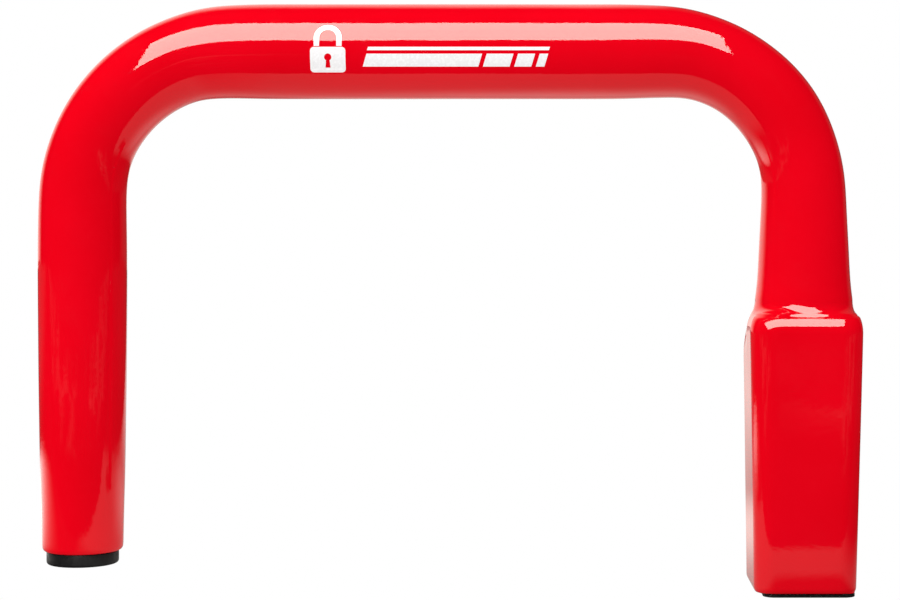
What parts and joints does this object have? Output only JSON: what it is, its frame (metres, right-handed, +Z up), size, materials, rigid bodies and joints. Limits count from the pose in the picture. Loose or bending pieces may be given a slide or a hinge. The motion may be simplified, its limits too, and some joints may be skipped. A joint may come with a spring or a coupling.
{
  "type": "steering wheel lock",
  "caption": "Vinyl-dipped steel bow with a toothed rim jaw that slides out of the foot of one leg and a key cylinder in its back.",
  "frame": {"origin": "centre of the overall box at the level of the jaw foot's sole, on the bow's middle plane", "axes": "+Z up along the legs towards the crossbar, +X from the plain leg to the lock leg, -Y the front, +Y the keyhole side"},
  "size_m": [0.2938, 0.0434, 0.2097],
  "materials": {
    "red_vinyl": "glossy dip-moulded vinyl",
    "black_plastic": "satin moulded plastic",
    "black_oxide": "black oxide on forged steel",
    "tube_steel": "drawn steel",
    "weld_metal": "as welded",
    "hard_steel": "ground and hardened",
    "black_screw": "black oxide",
    "pad_rubber": "moulded rubber",
    "cast_zinc": "die cast zinc alloy",
    "white_nylon": "natural nylon",
    "spring_steel": "bright wire",
    "pin_steel": "ground",
    "nickel_plate": "satin nickel plate",
    "brass": "machined brass",
    "plated_steel": "zinc plated"
  },
  "bodies": {
    "bow": {"vinyl_coat": "red_vinyl", "bow_tube": "tube_steel", "lock_case": "tube_steel", "case_cap_plate": "tube_steel", "weld_fillet": "weld_metal", "end_plug": "black_plastic", "guide_block": "cast_zinc", "block_pin_upper": "pin_steel", "block_pin_lower": "pin_steel", "stop_pin": "pin_steel", "friction_plug": "white_nylon", "friction_spring": "spring_steel", "friction_screw": "black_screw", "cylinder_shell": "nickel_plate", "cylinder_retainer": "spring_steel"},
    "jaw": {"jaw_bar": "hard_steel", "jaw_foot": "black_oxide", "foot_pad": "pad_rubber", "foot_screw_front": "black_screw", "foot_screw_rear": "black_screw"},
    "core": {"cylinder_core": "brass", "wafer_1": "brass", "wafer_2": "brass", "wafer_3": "brass", "wafer_4": "brass", "wafer_5": "brass", "lock_cam": "plated_steel", "cam_screw": "black_screw"},
    "bolt": {"lock_bolt": "hard_steel"}
  },
  "joints": [
    {"name": "jaw_slide", "type": "slide", "parent": "bow", "child": "jaw", "axis": [0, 0, -1], "range_m": [0, 0.036]},
    {"name": "key_turn", "type": "hinge", "parent": "bow", "child": "core", "pos_m": [0.1325, 0, 0.04], "axis": [0, 1, 0], "range_deg": [0, 90]},
    {"name": "bolt_slide", "type": "slide", "parent": "bow", "child": "bolt", "axis": [-1, 0, 0], "range_m": [0, 0.00566]}
  ],
  "couplings": [
    {"joint": "bolt_slide", "follows": "key_turn", "m_per_rad": 0.0036}
  ]
}
